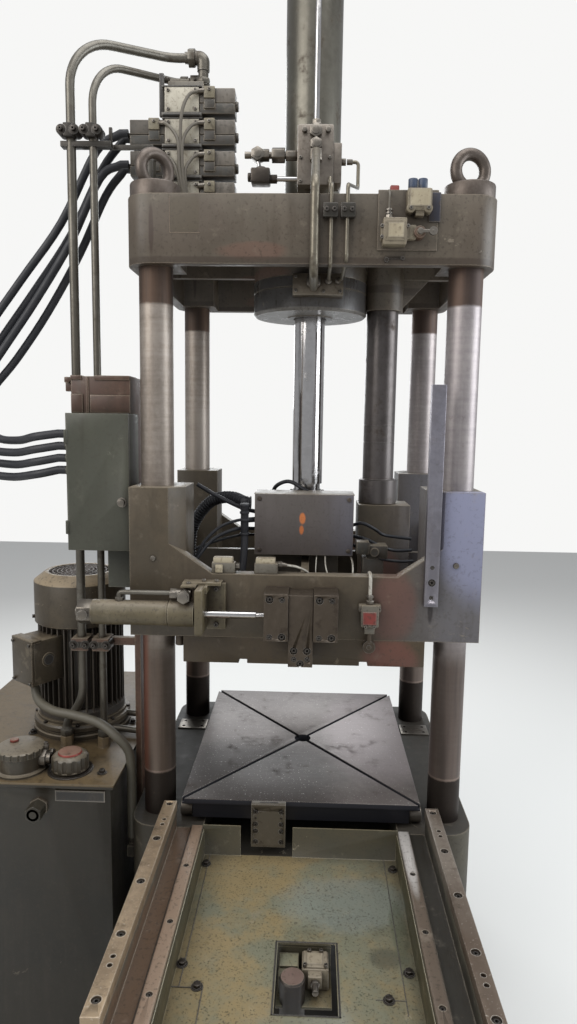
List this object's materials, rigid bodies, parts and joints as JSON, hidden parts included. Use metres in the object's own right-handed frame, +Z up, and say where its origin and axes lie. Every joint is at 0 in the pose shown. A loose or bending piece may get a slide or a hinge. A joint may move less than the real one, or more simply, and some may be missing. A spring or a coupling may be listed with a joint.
{
  "type": "hydraulic press",
  "caption": "Four-column hydraulic press with a guided slide under a ram, a table that rolls out on front rails, and a power pack with hoses at its side.",
  "frame": {"origin": "on the floor under the bed, midway between the four columns", "axes": "+Z up along the ram, -Y towards the front rails, +X to the right seen from the front"},
  "size_m": [1.4215, 1.427, 2.8143],
  "materials": {
    "bed": "worn green paint",
    "rail_beams": "worn green paint",
    "guide_strip_left": "machined steel, oiled",
    "guide_strip_right": "machined steel, oiled",
    "front_tray": "worn khaki paint",
    "tray_stop": "dark oiled metal",
    "column_front_left": "ground steel with wear marks",
    "column_front_right": "ground steel with wear marks",
    "column_rear_left": "ground steel with wear marks",
    "column_rear_right": "ground steel with wear marks",
    "crosshead": "worn olive-grey paint, stained",
    "cylinder_flange": "worn olive-grey paint, stained",
    "cylinder_barrel": "dark oiled metal",
    "cylinder_cap": "dark oiled metal",
    "table_cylinder": "dark oiled metal",
    "valve_block": "machined steel, oiled",
    "feed_pipe": "machined steel, oiled",
    "pilot_pipes": "machined steel, oiled",
    "valve_manifold": "machined steel, oiled",
    "solenoid_valve_1": "dull cream",
    "solenoid_valve_2": "dull cream",
    "solenoid_valve_3": "dull cream",
    "oil_pipe_1": "machined steel, oiled",
    "oil_pipe_2": "machined steel, oiled",
    "pipe_rail": "grey paint",
    "pipe_bracket": "rusty brown paint",
    "cabinet": "worn green paint",
    "oil_tank": "dark green-brown paint, oily",
    "pump_flange": "dark oiled metal",
    "motor": "grey paint",
    "fan_cover": "worn green paint",
    "return_filter": "grey paint",
    "head_switches": "dull cream",
    "hose_1": "black rubber",
    "hose_2": "black rubber",
    "hose_3": "black rubber",
    "hose_4": "black rubber",
    "motor_conduit": "black rubber",
    "piston_rod": "hard chrome",
    "slide_frame": "worn olive-grey paint, stained",
    "tail_tube": "dark oiled metal",
    "junction_box": "grey paint",
    "guide_block_left": "machined steel, oiled",
    "guide_block_right": "machined steel, oiled",
    "lock_cylinder": "worn olive-grey paint, stained",
    "cam_bar": "machined steel, oiled",
    "slide_switch": "grey paint",
    "slide_hose": "black rubber",
    "carrier_plate": "worn olive-grey paint, stained",
    "centre_bar": "machined steel, oiled",
    "lock_rod": "hard chrome",
    "slide_switch_plunger": "machined steel, oiled",
    "table_plate": "ground steel, blotched",
    "table_link": "machined steel, oiled",
    "front_wheelset": "dark oiled metal",
    "rear_wheelset": "dark oiled metal",
    "cabinet_door": "worn green paint",
    "motor_rotor": "dark oiled metal",
    "filler_cap": "red plastic",
    "switch_lever": "machined steel, oiled"
  },
  "bodies": {
    "frame": {"bed": "bed", "rail_beams": "rail_beams", "guide_strip_left": "guide_strip_left", "guide_strip_right": "guide_strip_right", "front_tray": "front_tray", "tray_stop": "tray_stop", "column_front_left": "column_front_left", "column_front_right": "column_front_right", "column_rear_left": "column_rear_left", "column_rear_right": "column_rear_right", "crosshead": "crosshead", "cylinder_flange": "cylinder_flange", "cylinder_barrel": "cylinder_barrel", "cylinder_cap": "cylinder_cap", "table_cylinder": "table_cylinder", "valve_block": "valve_block", "feed_pipe": "feed_pipe", "pilot_pipes": "pilot_pipes", "valve_manifold": "valve_manifold", "solenoid_valve_1": "solenoid_valve_1", "solenoid_valve_2": "solenoid_valve_2", "solenoid_valve_3": "solenoid_valve_3", "oil_pipe_1": "oil_pipe_1", "oil_pipe_2": "oil_pipe_2", "pipe_rail": "pipe_rail", "pipe_bracket": "pipe_bracket", "cabinet": "cabinet", "oil_tank": "oil_tank", "pump_flange": "pump_flange", "motor": "motor", "fan_cover": "fan_cover", "return_filter": "return_filter", "head_switches": "head_switches", "hose_1": "hose_1", "hose_2": "hose_2", "hose_3": "hose_3", "hose_4": "hose_4", "motor_conduit": "motor_conduit"},
    "slide": {"piston_rod": "piston_rod", "slide_frame": "slide_frame", "tail_tube": "tail_tube", "junction_box": "junction_box", "guide_block_left": "guide_block_left", "guide_block_right": "guide_block_right", "lock_cylinder": "lock_cylinder", "cam_bar": "cam_bar", "slide_switch": "slide_switch", "slide_hose": "slide_hose"},
    "carrier": {"carrier_plate": "carrier_plate", "centre_bar": "centre_bar"},
    "lock": {"lock_rod": "lock_rod"},
    "plunger": {"slide_switch_plunger": "slide_switch_plunger"},
    "table": {"table_plate": "table_plate", "table_link": "table_link"},
    "front_wheelset": {"front_wheelset": "front_wheelset"},
    "rear_wheelset": {"rear_wheelset": "rear_wheelset"},
    "door": {"cabinet_door": "cabinet_door"},
    "rotor": {"motor_rotor": "motor_rotor"},
    "filler": {"filler_cap": "filler_cap"},
    "lever": {"switch_lever": "switch_lever"}
  },
  "joints": [
    {"name": "ram_slide", "type": "slide", "parent": "frame", "child": "slide", "axis": [0, 0, 1], "range_m": [-0.29, 0.31]},
    {"name": "carrier_lift", "type": "slide", "parent": "slide", "child": "carrier", "axis": [0, 0, 1], "range_m": [-0.03, 0]},
    {"name": "lock_slide", "type": "slide", "parent": "slide", "child": "lock", "axis": [1, 0, 0], "range_m": [-0.04, 0]},
    {"name": "plunger_slide", "type": "slide", "parent": "slide", "child": "plunger", "axis": [0, 0, 1], "range_m": [0, 0.005], "stiffness_N_per_m": 300},
    {"name": "table_slide", "type": "slide", "parent": "frame", "child": "table", "axis": [0, -1, 0], "range_m": [0, 0.6]},
    {"name": "front_wheel_roll", "type": "hinge", "parent": "table", "child": "front_wheelset", "pos_m": [0, -0.3363, 0.6243], "axis": [1, 0, 0], "continuous": true},
    {"name": "rear_wheel_roll", "type": "hinge", "parent": "table", "child": "rear_wheelset", "pos_m": [0, 0.3077, 0.6243], "axis": [1, 0, 0], "continuous": true},
    {"name": "cabinet_door_swing", "type": "hinge", "parent": "frame", "child": "door", "pos_m": [-0.583, -0.32945, 1.2804], "axis": [0, 0, -1], "range_deg": [0, 110]},
    {"name": "motor_spin", "type": "hinge", "parent": "frame", "child": "rotor", "pos_m": [-0.645, -0.06, 1.0503], "axis": [0, 0, 1], "continuous": true},
    {"name": "filler_cap_turn", "type": "hinge", "parent": "frame", "child": "filler", "pos_m": [-0.584, -0.35, 0.72], "axis": [0, 0, 1], "range_deg": [0, 60]},
    {"name": "switch_lever_swing", "type": "hinge", "parent": "frame", "child": "lever", "pos_m": [0.241, -0.3705, 2.02], "axis": [0, 1, 0], "range_deg": [-25, 25], "stiffness_Nm_per_rad": 1}
  ],
  "couplings": [
    {"joint": "front_wheel_roll", "follows": "table_slide", "rad_per_m": 45.455},
    {"joint": "rear_wheel_roll", "follows": "table_slide", "rad_per_m": 45.455}
  ]
}
